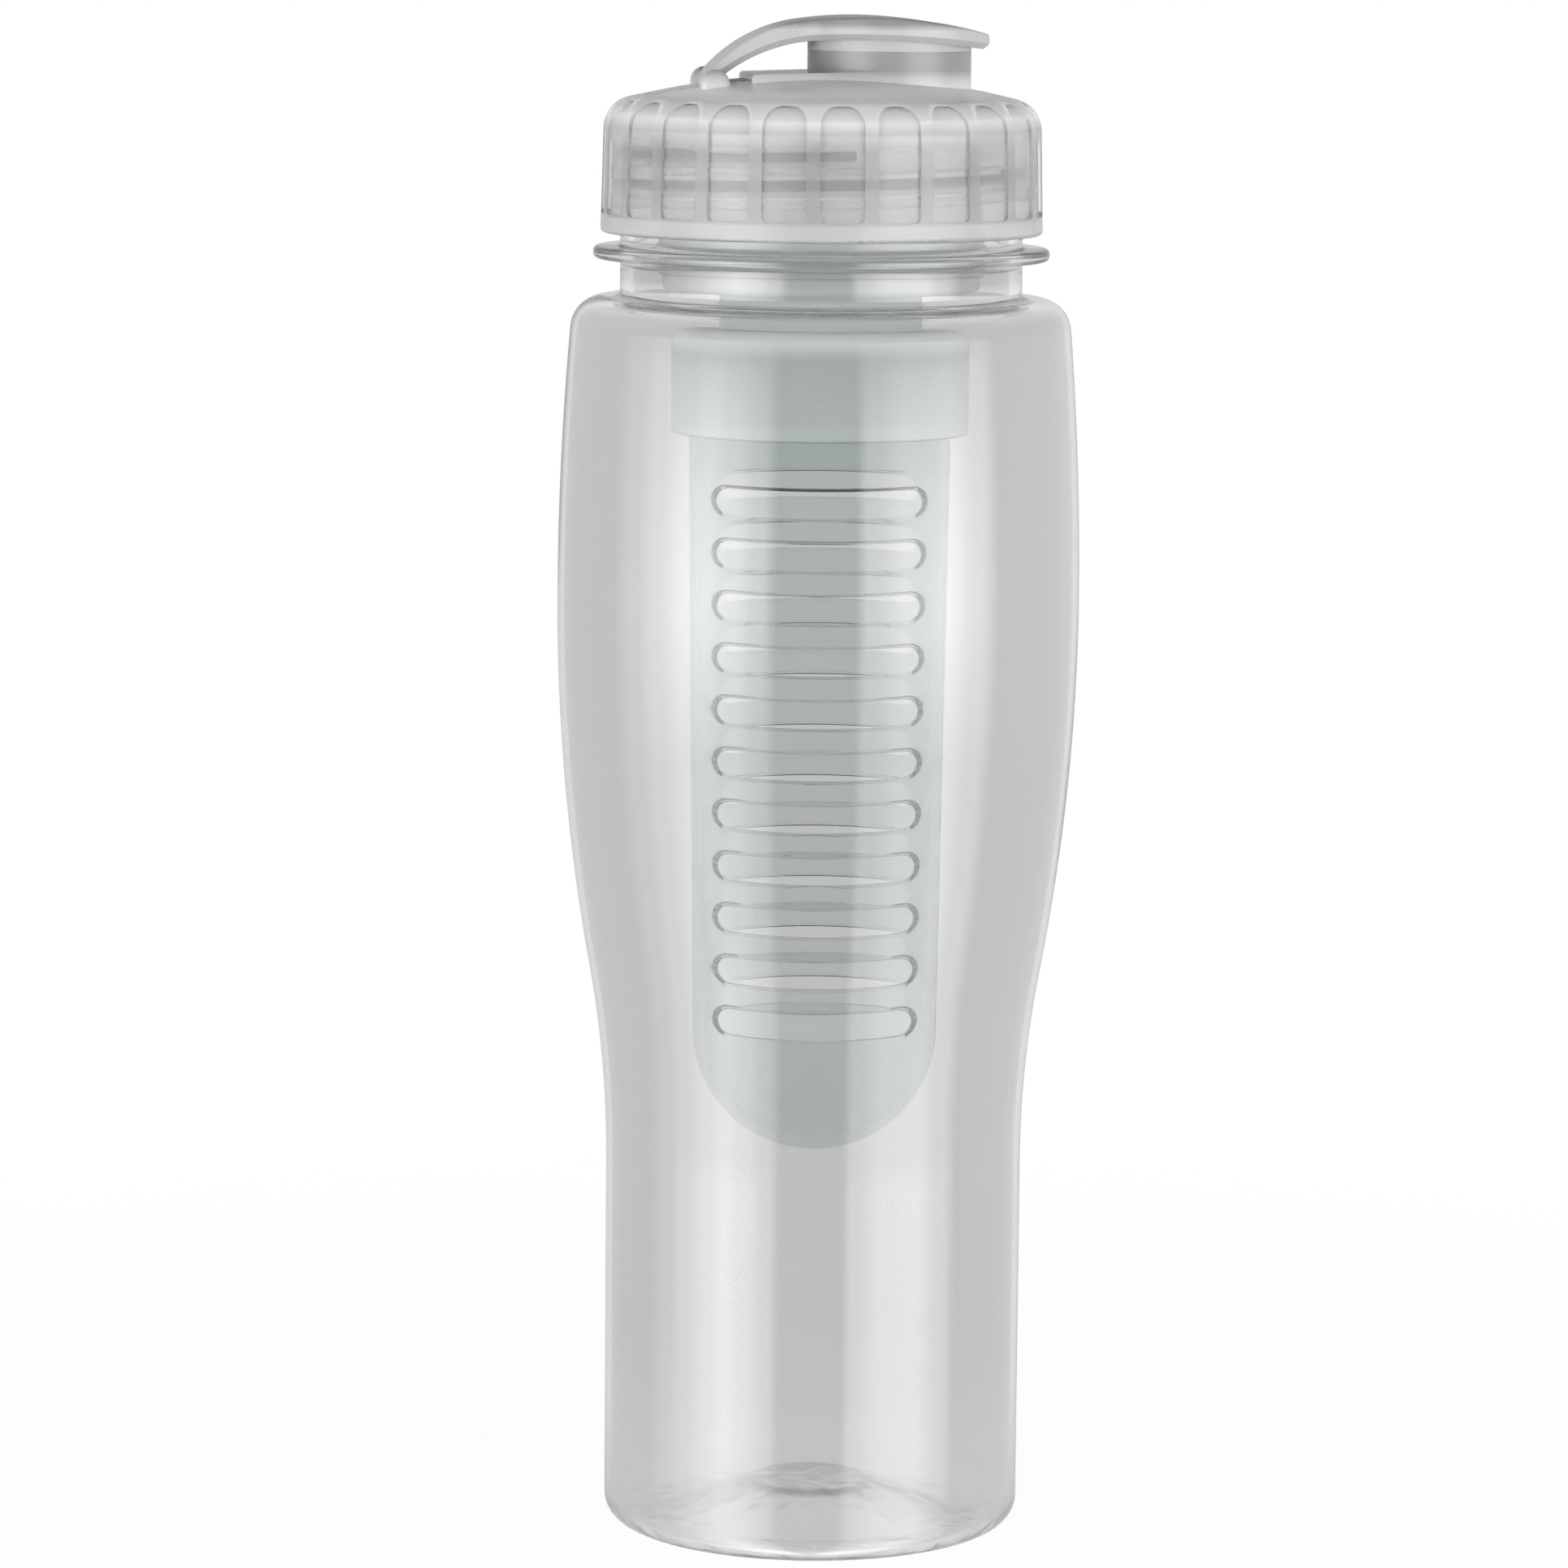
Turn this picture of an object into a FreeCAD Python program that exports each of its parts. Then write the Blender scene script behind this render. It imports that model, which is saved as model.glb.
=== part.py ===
import FreeCAD
import Part
import math
import os

# Fruit infuser water bottle. Lengths are in mm, angles in degrees, +Z is up, the base stands at zero.

# Bottle
barrel_r = 31.3
belly_r = 39.0
waist_z = 56.0
belly_z = 140.5
shoulder_z = 185.7
shoulder_lean_share = 0.236
shoulder_round_share = 0.55
neck_root_share = 0.1
waist_bend_share = 0.34
body_wall = 0.9
base_wall = 1.2
base_round = 4.0
foot_inner_r = 21.0
foot_inner_round = 2.5
push_up_r = 9.0
push_up_h = 5.0
push_up_round = 4.0
neck_r = 29.9
neck_wall = 1.9
neck_h = 23.8
neck_inner_round = 1.5
lip_round = 0.5
support_ring_reach = 4.0
support_ring_t = 1.8
support_ring_rise = 5.6
support_ring_round = 0.7

# Thread room between the neck and the cap
thread_depth = 1.05
thread_gap = 0.25

# Infuser collar
flange_t = 1.3
flange_inset = 0.5
pilot_gap = 0.3
pilot_wall = 1.4
pilot_h = 4.5
funnel_gap = 4.4
funnel_h = 22.7
collar_wall = 1.5
funnel_round = 1.2
tube_r = 15.1
tube_h = 5.0
tube_root_round = 0.6
cup_r = 22.2
cup_h = 16.3
cup_wall = 1.6
cup_round = 3.3
cup_edge_round = 0.4

# Collar seal
seal_t = 0.55
seal_h = 5.2
seal_rise = 2.9
seal_lip_reach = 1.5
seal_lip_h = 2.4
seal_round = 0.2

# Infuser basket
basket_thread_room = 0.9
basket_taper = 1.3
basket_length = 123.0
basket_wall = 1.5
basket_clocking = -5.0
slot_count = 11
slot_h = 4.0
slot_top_drop = 9.3
slot_foot_rise = 2.9
slot_reach_share = 0.78
slot_edge_bevel = 0.4

# Cap gasket
gasket_t = 1.4
gasket_w = 5.2
gasket_edge_gap = 0.3

# Screw cap
cap_shoulder_wall = 1.3
cap_shoulder_round = 4.8
cap_skirt_draft = 1.3
cap_crown_rise = 6.4
cap_crown_radius = 120.0
cap_skirt_h = 17.1
cap_rim_round = 0.7
cap_wall = 1.8
cap_corner_round = 1.6
gasket_land_inset = 0.5
panel_count = 24
panel_w = 6.5
panel_depth = 0.55
panel_bottom_rise = 2.9
panel_top_rise = 2.5
panel_arch_round = 2.6
panel_foot_round = 0.9
spout_x = 9.85
spout_r = 12.15
spout_wall = 1.9
spout_rise = 10.0
step_x = -11.5
step_rise = 6.5
step_round = 0.6
platform_rise = 7.2
pocket_floor_rise = 3.1
pocket_side_gap = 0.4

# Hinge
pivot_x = -16.8
pivot_floor_gap = 0.4
trunnion_r = 1.0
trunnion_length = 2.2
trunnion_clearance = 0.05
trunnion_end_gap = 0.3
ear_wall = 1.05
ear_back = 1.9
ear_round = 0.9
snap_mouth_share = 0.8

# Flip lid
lid_t = 3.35
lid_seat_h = 1.65
lid_top_x = 5.3
lid_top_radius = 72.0
lid_under_radius = 120.0
lid_overhang = 2.65
strap_w = 16.0
strap_blend_radius = 7.0
strap_bend_x = -3.0
strap_under_bend_x = -1.5
barrel_hinge_r = 1.6
lid_top_round = 0.5
lid_under_chamfer = 0.9
plug_depth = 3.0
plug_wall = 1.3
plug_root_gap = 0.15
plug_taper_share = 0.22

# How far a cutting shape runs past the face it leaves through
overrun = 1.0

# Bottle sizes that follow from the width between neck and belly
shoulder_span = belly_r - neck_r
shoulder_round = shoulder_span * shoulder_round_share
neck_root_round = shoulder_span * neck_root_share
shoulder_lean = shoulder_span * shoulder_lean_share
shoulder_h = shoulder_z - belly_z
upper_side_radius = (shoulder_h * shoulder_h + shoulder_lean * shoulder_lean) / (2 * shoulder_lean)
support_ring_r = neck_r + support_ring_reach

# Fits inside the neck and the cup
lip_z = shoulder_z + neck_h
bore_r = neck_r - neck_wall
flange_r = neck_r - flange_inset
flange_top_z = lip_z + flange_t
funnel_r = bore_r - funnel_gap
funnel_foot_z = lip_z - funnel_h
cup_bore_r = cup_r - cup_wall
cup_top_z = funnel_foot_z - tube_h
cup_foot_z = cup_top_z - cup_h
cup_ceiling_z = cup_top_z - cup_wall
basket_mouth_r = cup_bore_r - basket_thread_room
basket_foot_r = basket_mouth_r - basket_taper
gasket_r = flange_r - gasket_edge_gap
gasket_bore_r = gasket_r - gasket_w

# Cap, hinge and lid stand on the gasket's top
cap_ceiling_z = flange_top_z + gasket_t
cap_bore_r = neck_r + thread_depth + thread_gap
cap_shoulder_r = cap_bore_r + cap_shoulder_wall
cap_crown_z = cap_ceiling_z + cap_crown_rise
cap_rim_z = cap_ceiling_z - cap_skirt_h
gasket_land_r = gasket_bore_r - gasket_land_inset
panel_top_z = cap_ceiling_z + panel_top_rise
spout_rim_z = cap_ceiling_z + spout_rise
spout_bore_r = spout_r - spout_wall
step_z = cap_ceiling_z + step_rise
platform_z = cap_ceiling_z + platform_rise
pocket_floor_z = cap_ceiling_z + pocket_floor_rise
pocket_half = strap_w / 2 + pocket_side_gap
pivot_z = pocket_floor_z + barrel_hinge_r + pivot_floor_gap
socket_r = trunnion_r + trunnion_clearance
socket_end_y = strap_w / 2 + trunnion_length + trunnion_end_gap
ear_r = socket_r + ear_wall
ear_end_y = socket_end_y + ear_back
lid_under_z = spout_rim_z + lid_seat_h
lid_top_z = lid_under_z + lid_t
lid_disc_r = spout_r + lid_overhang
axis_up = FreeCAD.Vector(0, 0, 1)
axis_y = FreeCAD.Vector(0, 1, 0)


def at(r, z):
    return FreeCAD.Vector(r, 0, z)


def line(a, b):
    return Part.LineSegment(a, b).toShape()


def polar(centre, radius, angle):
    a = math.radians(angle)
    return at(centre.x + radius * math.cos(a), centre.z + radius * math.sin(a))


def bow(centre, radius, start, end):
    middle = polar(centre, radius, (start + end) / 2)
    return Part.Arc(polar(centre, radius, start), middle, polar(centre, radius, end)).toShape()


def path(corners):
    # Straight runs through the corners, each given as a point and the radius that rounds it
    edges = []
    here = corners[0][0]
    for k in range(1, len(corners) - 1):
        point, radius = corners[k]
        if radius == 0:
            edges.append(line(here, point))
            here = point
            continue
        back = (corners[k - 1][0] - point).normalize()
        ahead = (corners[k + 1][0] - point).normalize()
        half = back.getAngle(ahead) / 2
        inward = (back + ahead).normalize()
        centre = point + inward * (radius / math.sin(half))
        start = point + back * (radius / math.tan(half))
        end = point + ahead * (radius / math.tan(half))
        edges.append(line(here, start))
        edges.append(Part.Arc(start, centre - inward * radius, end).toShape())
        here = end
    edges.append(line(here, corners[-1][0]))
    return edges


def closed(corners):
    return path(corners + [corners[0]])


def face(edges):
    return Part.Face(Part.Wire(edges))


def turned(edges):
    return face(edges).revolve(at(0, 0), axis_up, 360)


def across(edges, start_y, end_y):
    flat = face(edges)
    flat.translate(axis_y * start_y)
    return flat.extrude(axis_y * (end_y - start_y))


def pin(x, z, radius, start_y, end_y):
    return Part.makeCylinder(radius, end_y - start_y, FreeCAD.Vector(x, start_y, z), axis_y)


def body_side(inset):
    # Side of the bottle from the top of the barrel to the end of the shoulder round
    bend = 2 * math.atan((belly_r - barrel_r) / (belly_z - waist_z))
    both = (belly_z - waist_z) / math.sin(bend)
    waist_radius = both * waist_bend_share
    belly_radius = both - waist_radius
    turn = math.degrees(bend)
    rise = (shoulder_z - shoulder_round - belly_z) / (upper_side_radius - shoulder_round)
    lean = math.degrees(math.asin(rise))
    waist = at(barrel_r + waist_radius, waist_z)
    belly = at(belly_r - belly_radius, belly_z)
    upper = at(belly_r - upper_side_radius, belly_z)
    shoulder = polar(upper, upper_side_radius - shoulder_round, lean)
    return [
        bow(waist, waist_radius + inset, 180, 180 - turn),
        bow(belly, belly_radius - inset, -turn, 0),
        bow(upper, upper_side_radius - inset, 0, lean),
        bow(shoulder, shoulder_round - inset, lean, 90),
    ]


def bottle_body():
    outer_side = body_side(0)
    inner_side = body_side(body_wall)
    outer_end = outer_side[-1].Vertexes[-1].Point
    inner_end = inner_side[-1].Vertexes[-1].Point
    ring_z = shoulder_z + support_ring_rise
    ring_top_z = ring_z + support_ring_t
    outer = path([
        (at(0, push_up_h), 0),
        (at(push_up_r, push_up_h), push_up_round),
        (at(foot_inner_r, 0), foot_inner_round),
        (at(barrel_r, 0), base_round),
        (at(barrel_r, waist_z), 0),
    ])
    outer += outer_side
    outer += path([
        (outer_end, 0),
        (at(neck_r, shoulder_z), neck_root_round),
        (at(neck_r, ring_z), neck_root_round),
        (at(support_ring_r, ring_z), support_ring_round),
        (at(support_ring_r, ring_top_z), support_ring_round),
        (at(neck_r, ring_top_z), neck_root_round),
        (at(neck_r, lip_z), lip_round),
        (at(0, lip_z), 0),
        (at(0, push_up_h), 0),
    ])
    inner = path([
        (at(0, push_up_h + base_wall), 0),
        (at(push_up_r, push_up_h + base_wall), push_up_round),
        (at(foot_inner_r, base_wall), foot_inner_round),
        (at(barrel_r - body_wall, base_wall), base_round - body_wall),
        (at(barrel_r - body_wall, waist_z), 0),
    ])
    inner += inner_side
    inner += path([
        (inner_end, 0),
        (at(bore_r, shoulder_z - body_wall), neck_inner_round),
        (at(bore_r, lip_z + overrun), 0),
        (at(0, lip_z + overrun), 0),
        (at(0, push_up_h + base_wall), 0),
    ])
    return turned(outer).cut(turned(inner))


def infuser_collar():
    pilot_r = bore_r - pilot_gap
    pilot_inner_r = pilot_r - pilot_wall
    pilot_foot_z = lip_z - pilot_h
    funnel_bore_r = funnel_r - collar_wall
    tube_bore_r = tube_r - collar_wall
    floor_z = funnel_foot_z + collar_wall
    return turned(closed([
        (at(funnel_bore_r, flange_top_z), 0),
        (at(flange_r, flange_top_z), lip_round),
        (at(flange_r, lip_z), 0),
        (at(pilot_r, lip_z), 0),
        (at(pilot_r, pilot_foot_z), lip_round),
        (at(pilot_inner_r, pilot_foot_z), 0),
        (at(pilot_inner_r, lip_z), 0),
        (at(funnel_r, lip_z), 0),
        (at(funnel_r, funnel_foot_z), funnel_round),
        (at(tube_r, funnel_foot_z), tube_root_round),
        (at(tube_r, cup_top_z), tube_root_round),
        (at(cup_r, cup_top_z), cup_round),
        (at(cup_r, cup_foot_z), cup_edge_round),
        (at(cup_bore_r, cup_foot_z), cup_edge_round),
        (at(cup_bore_r, cup_ceiling_z), cup_edge_round),
        (at(tube_bore_r, cup_ceiling_z), 0),
        (at(tube_bore_r, floor_z), cup_edge_round),
        (at(funnel_bore_r, floor_z), funnel_round),
    ]))


def collar_seal():
    foot_z = funnel_foot_z + seal_rise
    top_z = foot_z + seal_h
    lip_low_z = (foot_z + top_z - seal_lip_h) / 2
    lip_high_z = lip_low_z + seal_lip_h
    sleeve_r = funnel_r + seal_t
    return turned(closed([
        (at(funnel_r, foot_z), 0),
        (at(sleeve_r, foot_z), seal_round),
        (at(sleeve_r, lip_low_z), 0),
        (at(funnel_r + seal_lip_reach, (lip_low_z + lip_high_z) / 2), seal_round),
        (at(sleeve_r, lip_high_z), 0),
        (at(sleeve_r, top_z), seal_round),
        (at(funnel_r, top_z), 0),
    ]))


def slot_shape(z, half_length):
    # One stadium-shaped slot pulled straight through both walls, then turned to face the front
    r = slot_h / 2
    run = half_length - r
    edges = [
        line(at(-run, z - r), at(run, z - r)),
        bow(at(run, z), r, -90, 90),
        line(at(run, z + r), at(-run, z + r)),
        bow(at(-run, z), r, 90, 270),
    ]
    reach = basket_mouth_r + overrun
    slot = across(edges, -reach, reach)
    slot.rotate(at(0, 0), axis_up, basket_clocking)
    return slot


def infuser_basket():
    rim_z = cup_ceiling_z
    ball_z = rim_z - basket_length + basket_foot_r
    ball = at(0, ball_z)
    ball_bore_r = basket_foot_r - basket_wall
    mouth_bore_r = basket_mouth_r - basket_wall
    tube = turned([
        line(at(basket_mouth_r, rim_z), at(basket_foot_r, ball_z)),
        bow(ball, basket_foot_r, 0, -90),
        line(polar(ball, basket_foot_r, -90), polar(ball, ball_bore_r, -90)),
        bow(ball, ball_bore_r, -90, 0),
        line(at(ball_bore_r, ball_z), at(mouth_bore_r, rim_z)),
        line(at(mouth_bore_r, rim_z), at(basket_mouth_r, rim_z)),
    ])
    first_z = cup_foot_z - slot_top_drop
    last_z = ball_z + slot_foot_rise
    slots = []
    for k in range(slot_count):
        z = first_z + (last_z - first_z) * k / (slot_count - 1)
        radius = basket_foot_r + (basket_mouth_r - basket_foot_r) * (z - ball_z) / (rim_z - ball_z)
        slots.append(slot_shape(z, radius * slot_reach_share))
    shell = tube.cut(slots)
    # The curved edges between the ball and the cup are the slots' rims
    rims = [
        e for e in shell.Edges
        if ball_z < e.BoundBox.ZMin and e.BoundBox.ZMax < cup_foot_z and not isinstance(e.Curve, Part.Line)
    ]
    return shell.makeChamfer(slot_edge_bevel, rims)


def cap_gasket():
    return turned(closed([
        (at(gasket_bore_r, flange_top_z), 0),
        (at(gasket_r, flange_top_z), 0),
        (at(gasket_r, cap_ceiling_z), 0),
        (at(gasket_bore_r, cap_ceiling_z), 0),
    ]))


def cap_outside(inset):
    # Solid bounded by the cap's skirt, shoulder round and crown, set in by a distance
    crown = at(0, cap_crown_z - cap_crown_radius)
    shoulder_x = cap_shoulder_r - cap_shoulder_round
    reach = cap_crown_radius - cap_shoulder_round
    tilt = math.degrees(math.acos(shoulder_x / reach))
    shoulder = polar(crown, reach, tilt)
    top = polar(shoulder, cap_shoulder_round - inset, cap_skirt_draft)
    rim_r = top.x + (top.z - cap_rim_z) * math.tan(math.radians(cap_skirt_draft))
    edges = path([(at(0, cap_rim_z), 0), (at(rim_r, cap_rim_z), cap_rim_round), (top, 0)])
    edges.append(bow(shoulder, cap_shoulder_round - inset, cap_skirt_draft, tilt))
    edges.append(bow(crown, cap_crown_radius - inset, tilt, 90))
    edges.append(line(at(0, cap_crown_z - inset), at(0, cap_rim_z)))
    return turned(edges)


def cap_inside():
    # Room under the cap: thread bore, gasket ceiling and the hollow of the crown
    crown = at(0, cap_crown_z - cap_crown_radius)
    radius = cap_crown_radius - cap_wall
    tilt = math.degrees(math.acos(gasket_land_r / radius))
    land = polar(crown, radius, tilt)
    edges = path([
        (at(0, cap_rim_z - overrun), 0),
        (at(cap_bore_r, cap_rim_z - overrun), 0),
        (at(cap_bore_r, cap_ceiling_z), cap_corner_round),
        (at(gasket_land_r, cap_ceiling_z), 0),
        (land, 0),
    ])
    edges.append(bow(crown, radius, tilt, 90))
    edges.append(line(at(0, cap_crown_z - cap_wall), at(0, cap_rim_z - overrun)))
    return turned(edges)


def grip_panels():
    # Shallow arched recesses round the skirt that run up over the shoulder
    skin = cap_outside(-overrun).cut(cap_outside(panel_depth))
    foot_z = cap_rim_z + panel_bottom_rise
    half = panel_w / 2
    edges = closed([
        (at(0, foot_z), 0),
        (at(half, foot_z), panel_foot_round),
        (at(half, panel_top_z), panel_arch_round),
        (at(-half, panel_top_z), panel_arch_round),
        (at(-half, foot_z), panel_foot_round),
    ])
    first = skin.common(across(edges, 0, cap_shoulder_r + cap_shoulder_round))
    panels = []
    for k in range(panel_count):
        panel = first.copy()
        panel.rotate(at(0, 0), axis_up, 360 * k / panel_count)
        panels.append(panel)
    return panels


def ear():
    # One hinge ear on the +Y side, with a blind socket and a snap mouth above it
    pivot = at(pivot_x, pivot_z)
    edges = [
        line(at(pivot_x - ear_r, cap_ceiling_z), at(pivot_x + ear_r, cap_ceiling_z)),
        line(at(pivot_x + ear_r, cap_ceiling_z), polar(pivot, ear_r, 0)),
        bow(pivot, ear_r, 0, 180),
        line(polar(pivot, ear_r, 180), at(pivot_x - ear_r, cap_ceiling_z)),
    ]
    block = across(edges, pocket_half, ear_end_y)
    rim = [e for e in block.Edges if e.BoundBox.YMin > ear_end_y - ear_round]
    return block.makeFillet(ear_round, rim)


def ear_socket():
    start_y = pocket_half - overrun
    hole = pin(pivot_x, pivot_z, socket_r, start_y, socket_end_y)
    mouth_half = trunnion_r * snap_mouth_share
    mouth = Part.makeBox(
        2 * mouth_half,
        socket_end_y - start_y,
        ear_r + overrun,
        FreeCAD.Vector(pivot_x - mouth_half, start_y, pivot_z),
    )
    return hole.fuse(mouth)


def both_sides(shape):
    return [shape, shape.mirror(at(0, 0), axis_y)]


def screw_cap():
    outside = cap_outside(0)
    platform = across(
        closed([
            (at(step_x, cap_ceiling_z), 0),
            (at(step_x, step_z), step_round),
            (at(spout_x, platform_z), 0),
            (at(spout_x, cap_ceiling_z), 0),
        ]),
        -spout_r,
        spout_r,
    )
    spout_foot = at(spout_x, cap_ceiling_z)
    spout = Part.makeCylinder(spout_r, spout_rim_z - cap_ceiling_z, spout_foot, axis_up)
    pocket = Part.makeBox(
        step_x + cap_shoulder_r,
        2 * pocket_half,
        cap_crown_z + overrun - pocket_floor_z,
        FreeCAD.Vector(-cap_shoulder_r, -pocket_half, pocket_floor_z),
    )
    well_half = pocket_half + cap_wall
    well = Part.makeBox(
        step_x + cap_wall + cap_shoulder_r,
        2 * well_half,
        cap_crown_z - pocket_floor_z + cap_wall,
        FreeCAD.Vector(-cap_shoulder_r, -well_half, pocket_floor_z - cap_wall),
    )
    bore_h = spout_rim_z - cap_ceiling_z + overrun
    bore = Part.makeCylinder(spout_bore_r, bore_h, spout_foot, axis_up)
    solid = outside.fuse([platform, spout] + both_sides(ear()))
    solid = solid.cut(cap_inside().cut(well))
    solid = solid.cut([bore, pocket] + both_sides(ear_socket()))
    return solid.cut(grip_panels())


def lid_plan():
    # Disc and strap seen from above, joined by two hollow blends
    half = strap_w / 2
    span = lid_disc_r + strap_blend_radius
    blend_y = half + strap_blend_radius
    blend_x = spout_x - math.sqrt(span * span - blend_y * blend_y)
    join_x = spout_x + (blend_x - spout_x) * lid_disc_r / span
    join_y = blend_y * lid_disc_r / span
    lean = math.atan2(join_y - blend_y, join_x - blend_x)
    mid_turn = (lean - math.pi / 2) / 2
    mid_x = blend_x + strap_blend_radius * math.cos(mid_turn)
    mid_y = blend_y + strap_blend_radius * math.sin(mid_turn)

    def flat(x, y):
        return FreeCAD.Vector(x, y, 0)

    edges = [
        line(flat(pivot_x - barrel_hinge_r, -half), flat(blend_x, -half)),
        Part.Arc(flat(blend_x, -half), flat(mid_x, -mid_y), flat(join_x, -join_y)).toShape(),
        Part.Arc(flat(join_x, -join_y), flat(spout_x + lid_disc_r, 0), flat(join_x, join_y)).toShape(),
        Part.Arc(flat(join_x, join_y), flat(mid_x, mid_y), flat(blend_x, half)).toShape(),
        line(flat(blend_x, half), flat(pivot_x - barrel_hinge_r, half)),
        line(flat(pivot_x - barrel_hinge_r, half), flat(pivot_x - barrel_hinge_r, -half)),
    ]
    return face(edges).extrude(axis_up * (lid_top_z + overrun))


def tangent_bend(centre, radius, x, circle_r):
    # Arc that leaves a large arc at x and closes round a circle on the pivot
    start_angle = math.degrees(math.acos((x - centre.x) / radius))
    start = polar(centre, radius, start_angle)
    out = (start - centre).normalize()
    gap = start - at(pivot_x, pivot_z)
    bend_r = (gap.dot(gap) - circle_r * circle_r) / (2 * (out.dot(gap) - circle_r))
    bend_centre = start - out * bend_r
    toward = at(pivot_x, pivot_z) - bend_centre
    end_angle = math.degrees(math.atan2(toward.z, toward.x))
    return start_angle, bow(bend_centre, bend_r, start_angle, end_angle)


def lid_profile():
    # Lid seen from the side: arched top, thinner strap and flatter underside
    end_x = spout_x + lid_disc_r + overrun
    top = at(lid_top_x, lid_top_z - lid_top_radius)
    under = at(lid_top_x, lid_under_z - lid_under_radius)
    top_end = math.degrees(math.acos((end_x - top.x) / lid_top_radius))
    under_end = math.degrees(math.acos((end_x - under.x) / lid_under_radius))
    top_start, top_bend = tangent_bend(top, lid_top_radius, strap_bend_x, barrel_hinge_r)
    under_start, under_bend = tangent_bend(under, lid_under_radius, strap_under_bend_x, 0)
    top_foot = top_bend.Vertexes[-1].Point
    under_foot = under_bend.Vertexes[-1].Point
    edges = [
        bow(top, lid_top_radius, top_end, top_start),
        top_bend,
        line(top_foot, under_foot),
        under_bend,
        bow(under, lid_under_radius, under_start, under_end),
        line(polar(under, lid_under_radius, under_end), polar(top, lid_top_radius, top_end)),
    ]
    return across(Part.__sortEdges__(edges), -lid_disc_r - overrun, lid_disc_r + overrun)


def rim_edges(plate, side):
    # Edges where the plate's upper (side 1) or lower (side -1) faces meet its upright rim
    found = []
    for edge in plate.Edges:
        middle = edge.valueAt((edge.FirstParameter + edge.LastParameter) / 2)
        tilts = []
        for wall in plate.ancestorsOfType(edge, Part.Face):
            u, v = wall.Surface.parameter(middle)
            tilts.append(wall.normalAt(u, v).z * side)
        upright = min(abs(t) for t in tilts) < math.sin(math.radians(1))
        if upright and max(tilts) > math.sin(math.radians(5)) and middle.x > pivot_x + barrel_hinge_r:
            found.append(edge)
    return found


def flip_lid():
    plate = lid_profile().common(lid_plan())
    plate = plate.makeChamfer(lid_under_chamfer, rim_edges(plate, -1))
    plate = plate.makeFillet(lid_top_round, rim_edges(plate, 1))
    seat = Part.makeCylinder(spout_r, lid_under_z - spout_rim_z, at(spout_x, spout_rim_z), axis_up)
    root_r = spout_bore_r - plug_root_gap
    tip_r = root_r - plug_depth * plug_taper_share
    tip_z = spout_rim_z - plug_depth
    plug = turned([
        line(at(tip_r - plug_wall, tip_z), at(tip_r, tip_z)),
        line(at(tip_r, tip_z), at(root_r, spout_rim_z)),
        line(at(root_r, spout_rim_z), at(root_r, lid_under_z)),
        line(at(root_r, lid_under_z), at(tip_r - plug_wall, lid_under_z)),
        line(at(tip_r - plug_wall, lid_under_z), at(tip_r - plug_wall, tip_z)),
    ])
    plug.translate(at(spout_x, 0))
    half = strap_w / 2
    barrel = pin(pivot_x, pivot_z, barrel_hinge_r, -half, half)
    trunnions = pin(pivot_x, pivot_z, trunnion_r, -half - trunnion_length, half + trunnion_length)
    return plate.fuse([seat, plug, barrel, trunnions]).removeSplitter()


os.makedirs("parts", exist_ok=True)
nodes = {
    "bottle_body": bottle_body,
    "infuser_collar": infuser_collar,
    "collar_seal": collar_seal,
    "infuser_basket": infuser_basket,
    "cap_gasket": cap_gasket,
    "screw_cap": screw_cap,
    "flip_lid": flip_lid,
}
for name, make in nodes.items():
    shape = make()
    if shape.ShapeType == "Compound" and len(shape.Solids) == 1:
        shape = shape.Solids[0]
    print(name, shape.ShapeType, len(shape.Solids), shape.isValid(), round(shape.Volume))
    shape.exportStep("parts/" + name + ".step")
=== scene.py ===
import bpy
import math
from mathutils import Matrix, Vector


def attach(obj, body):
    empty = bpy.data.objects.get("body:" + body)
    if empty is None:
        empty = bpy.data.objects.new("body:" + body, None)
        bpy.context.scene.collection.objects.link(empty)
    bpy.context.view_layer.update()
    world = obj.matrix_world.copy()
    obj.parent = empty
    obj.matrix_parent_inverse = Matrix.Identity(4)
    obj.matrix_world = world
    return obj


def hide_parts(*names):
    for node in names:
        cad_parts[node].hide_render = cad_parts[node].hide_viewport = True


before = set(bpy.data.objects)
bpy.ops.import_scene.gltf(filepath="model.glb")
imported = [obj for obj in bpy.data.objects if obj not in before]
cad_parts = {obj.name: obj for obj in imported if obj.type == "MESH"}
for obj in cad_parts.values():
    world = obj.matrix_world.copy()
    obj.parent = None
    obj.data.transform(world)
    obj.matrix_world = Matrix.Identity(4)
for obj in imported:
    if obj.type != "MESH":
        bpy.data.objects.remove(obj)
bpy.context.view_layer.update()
print("frame loaded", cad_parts)

mm = 0.001  # sizes below are in millimetres, Blender works in metres
meshing = {
    "mergeGap": 0.002, "smoothAngle": 35, "stepsPerTurn": 72,
    "endRise": 0.04,  # what is left of a thread's crest where it has faded out
}


# small helpers
# sRGB hex to the linear colour that the nodes take
def hexColour(code):
    parts = [int(code[i:i + 2], 16) / 255 for i in (1, 3, 5)]
    return [p / 12.92 if p <= 0.04045 else ((p + 0.055) / 1.055) ** 2.4 for p in parts] + [1.0]


def addNode(tree, kind, settings=None, links=None):
    node = tree.nodes.new(kind)
    for key, value in (settings or {}).items():
        if isinstance(key, int) or key in node.inputs:
            node.inputs[key].default_value = value
        else:
            setattr(node, key, value)
    for key, socket in (links or {}).items():
        tree.links.new(socket, node.inputs[key])
    return node


def deselectAll():
    if bpy.context.object and bpy.context.object.mode != "OBJECT":
        bpy.ops.object.mode_set(mode="OBJECT")
    bpy.ops.object.select_all(action="DESELECT")


def makeActive(piece):
    deselectAll()
    piece.select_set(True)
    bpy.context.view_layer.objects.active = piece


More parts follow.
